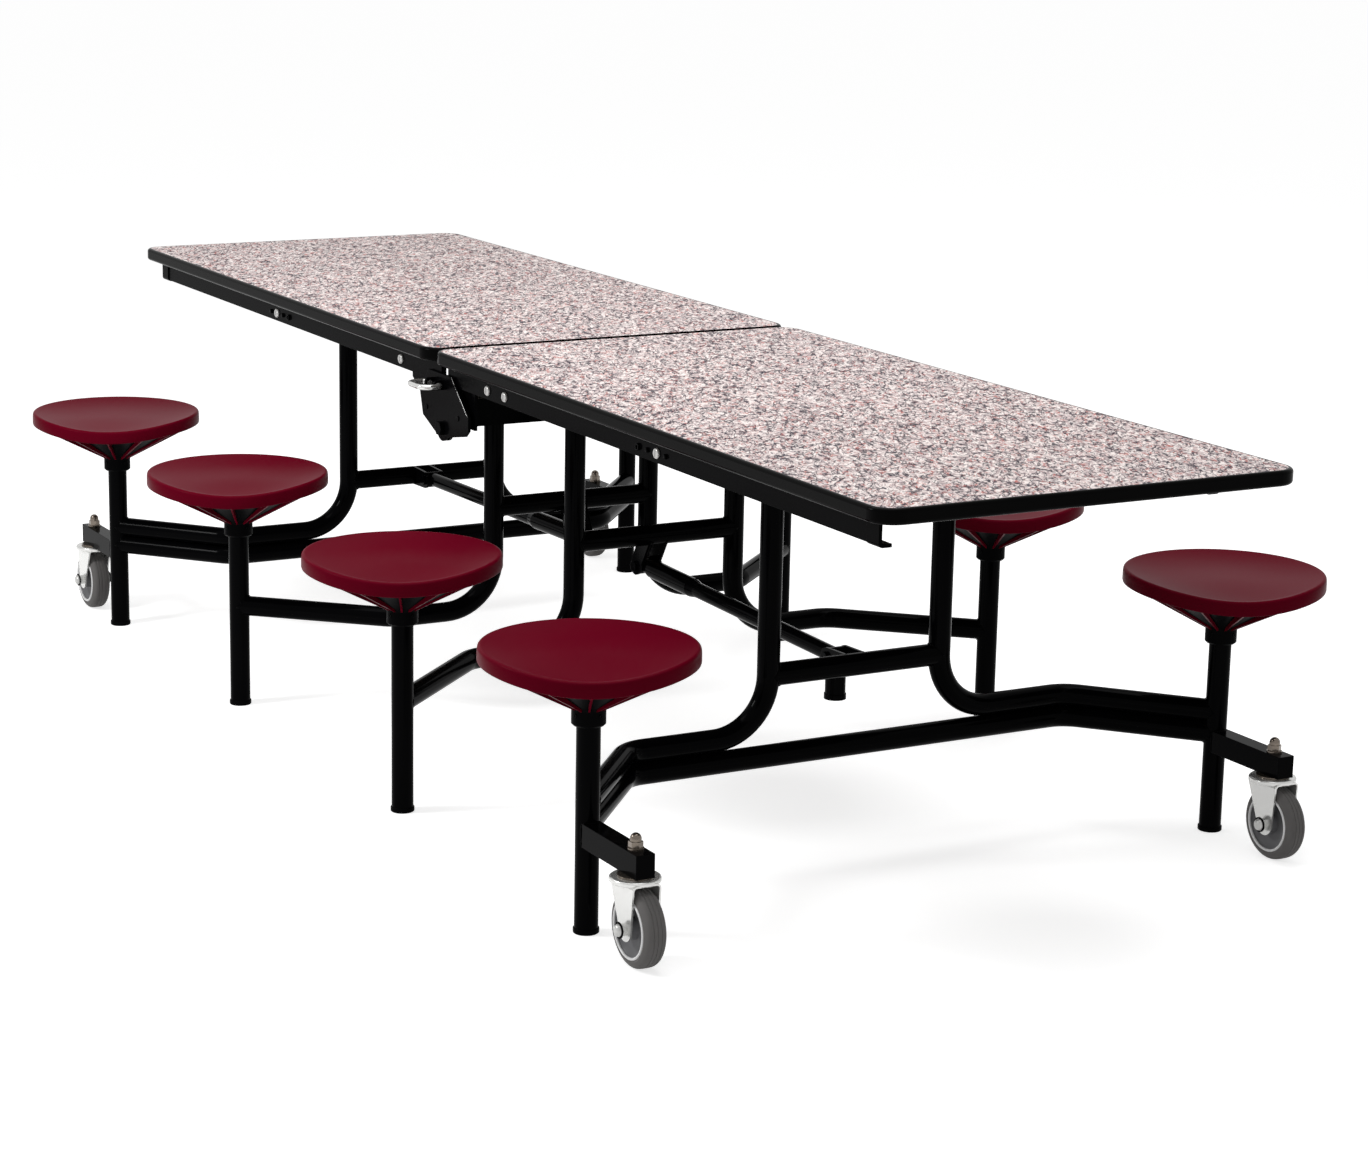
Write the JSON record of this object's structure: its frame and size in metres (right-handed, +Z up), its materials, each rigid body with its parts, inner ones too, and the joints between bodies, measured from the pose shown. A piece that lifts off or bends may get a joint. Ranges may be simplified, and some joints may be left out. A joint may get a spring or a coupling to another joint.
{
  "type": "mobile folding stool table",
  "caption": "Long speckled laminate cafeteria table in two halves on black folding tube frames, with attached round maroon stools and swivel casters at the ends.",
  "frame": {"origin": "on the floor under the middle of the table, where the two halves meet", "axes": "+X along the length to the near end, +Y across the table to the back, +Z up"},
  "size_m": [3.073, 1.5549, 0.737],
  "materials": {
    "laminate": "speckled matt laminate",
    "edge_moulding": "satin black moulding",
    "black_paint": "gloss black powder coat",
    "seat_plastic": "maroon moulded plastic with a soft sheen",
    "black_plastic": "satin black",
    "zinc": "bright zinc plate",
    "bright_rod": "bright chrome",
    "steel": "bright steel",
    "wheel_rubber": "grey non-marking rubber"
  },
  "bodies": {
    "near_outer_frame": {"near_outer_legs": "black_paint", "near_outer_cross_tube": "black_paint", "near_outer_lower_tube": "black_paint", "near_outer_stool_posts": "black_paint", "near_outer_seats": "seat_plastic", "near_outer_seat_sockets": "black_plastic", "near_outer_foot_caps": "black_plastic", "near_caster_arms": "black_paint", "near_caster_stems": "zinc", "near_link_yoke": "black_paint"},
    "near_inner_frame": {"near_inner_legs": "black_paint", "near_inner_cross_tube": "black_paint", "near_inner_stool_posts": "black_paint", "near_inner_seats": "seat_plastic", "near_inner_seat_sockets": "black_plastic", "near_inner_foot_caps": "black_plastic", "near_link_hub": "black_paint"},
    "near_top": {"near_top_board": "laminate", "near_top_edge": "edge_moulding", "near_side_rails": "black_paint", "near_pivot_rods": "steel", "near_hinge_plates": "black_paint", "near_rail_rivets": "steel", "hinge_bolts": "black_paint", "hinge_beam": "black_paint", "torsion_bars": "steel"},
    "near_link": {"near_link": "black_paint"},
    "near_front_fork": {"near_front_caster_fork": "zinc"},
    "near_front_wheel": {"near_front_caster_wheel": "wheel_rubber"},
    "near_back_fork": {"near_back_caster_fork": "zinc"},
    "near_back_wheel": {"near_back_caster_wheel": "wheel_rubber"},
    "far_outer_frame": {"far_outer_legs": "black_paint", "far_outer_cross_tube": "black_paint", "far_outer_lower_tube": "black_paint", "far_outer_stool_posts": "black_paint", "far_outer_seats": "seat_plastic", "far_outer_seat_sockets": "black_plastic", "far_outer_foot_caps": "black_plastic", "far_caster_arms": "black_paint", "far_caster_stems": "zinc", "far_link_yoke": "black_paint"},
    "far_inner_frame": {"far_inner_legs": "black_paint", "far_inner_cross_tube": "black_paint", "far_inner_stool_posts": "black_paint", "far_inner_seats": "seat_plastic", "far_inner_seat_sockets": "black_plastic", "far_inner_foot_caps": "black_plastic", "far_link_hub": "black_paint"},
    "far_top": {"far_top_board": "laminate", "far_top_edge": "edge_moulding", "far_side_rails": "black_paint", "far_pivot_rods": "steel", "far_hinge_plates": "black_paint", "far_rail_rivets": "steel"},
    "far_link": {"far_link": "black_paint"},
    "far_front_fork": {"far_front_caster_fork": "zinc"},
    "far_front_wheel": {"far_front_caster_wheel": "wheel_rubber"},
    "far_back_fork": {"far_back_caster_fork": "zinc"},
    "far_back_wheel": {"far_back_caster_wheel": "wheel_rubber"},
    "latch": {"latch_handle": "bright_rod"}
  },
  "joints": [
    {"name": "fold", "type": "hinge", "parent": "near_outer_frame", "child": "near_top", "pos_m": [0.912, 0, 0.684], "axis": [0, 1, 0], "range_deg": [0, 80]},
    {"name": "near_inner_level", "type": "hinge", "parent": "near_top", "child": "near_inner_frame", "pos_m": [0.228, 0, 0.698], "axis": [0, 1, 0], "range_deg": [-80, 0]},
    {"name": "near_link_swing", "type": "hinge", "parent": "near_outer_frame", "child": "near_link", "pos_m": [0.816, 0, 0.313], "axis": [0, 1, 0], "range_deg": [0, 80]},
    {"name": "middle_hinge", "type": "hinge", "parent": "near_top", "child": "far_top", "pos_m": [0, 0, 0.59], "axis": [0, 1, 0], "range_deg": [-160, 0]},
    {"name": "far_outer_level", "type": "hinge", "parent": "far_top", "child": "far_outer_frame", "pos_m": [-0.912, 0, 0.684], "axis": [0, 1, 0], "range_deg": [0, 80]},
    {"name": "far_inner_level", "type": "hinge", "parent": "far_top", "child": "far_inner_frame", "pos_m": [-0.228, 0, 0.698], "axis": [0, 1, 0], "range_deg": [0, 80]},
    {"name": "far_link_swing", "type": "hinge", "parent": "far_outer_frame", "child": "far_link", "pos_m": [-0.816, 0, 0.313], "axis": [0, 1, 0], "range_deg": [-80, 0]},
    {"name": "latch_lift", "type": "hinge", "parent": "near_top", "child": "latch", "pos_m": [-0.017, -0.3653, 0.67], "axis": [-1, 0, 0], "range_deg": [0, 40]},
    {"name": "near_front_swivel", "type": "hinge", "parent": "near_outer_frame", "child": "near_front_fork", "pos_m": [1.238, -0.606, 0.13], "axis": [0, 0, 1], "continuous": true},
    {"name": "near_front_roll", "type": "hinge", "parent": "near_front_fork", "child": "near_front_wheel", "pos_m": [1.252, -0.606, 0.0625], "axis": [0, 1, 0], "continuous": true},
    {"name": "near_back_swivel", "type": "hinge", "parent": "near_outer_frame", "child": "near_back_fork", "pos_m": [1.238, 0.606, 0.13], "axis": [0, 0, 1], "continuous": true},
    {"name": "near_back_roll", "type": "hinge", "parent": "near_back_fork", "child": "near_back_wheel", "pos_m": [1.252, 0.606, 0.0625], "axis": [0, 1, 0], "continuous": true},
    {"name": "far_front_swivel", "type": "hinge", "parent": "far_outer_frame", "child": "far_front_fork", "pos_m": [-1.238, -0.606, 0.13], "axis": [0, 0, 1], "continuous": true},
    {"name": "far_front_roll", "type": "hinge", "parent": "far_front_fork", "child": "far_front_wheel", "pos_m": [-1.252, -0.606, 0.0625], "axis": [0, 1, 0], "continuous": true},
    {"name": "far_back_swivel", "type": "hinge", "parent": "far_outer_frame", "child": "far_back_fork", "pos_m": [-1.238, 0.606, 0.13], "axis": [0, 0, 1], "continuous": true},
    {"name": "far_back_roll", "type": "hinge", "parent": "far_back_fork", "child": "far_back_wheel", "pos_m": [-1.252, 0.606, 0.0625], "axis": [0, 1, 0], "continuous": true}
  ],
  "couplings": [
    {"joint": "near_inner_level", "follows": "fold", "ratio": -1},
    {"joint": "near_link_swing", "follows": "fold", "ratio": 1},
    {"joint": "middle_hinge", "follows": "fold", "ratio": -2},
    {"joint": "far_outer_level", "follows": "fold", "ratio": 1},
    {"joint": "far_inner_level", "follows": "fold", "ratio": 1},
    {"joint": "far_link_swing", "follows": "fold", "ratio": -1}
  ]
}
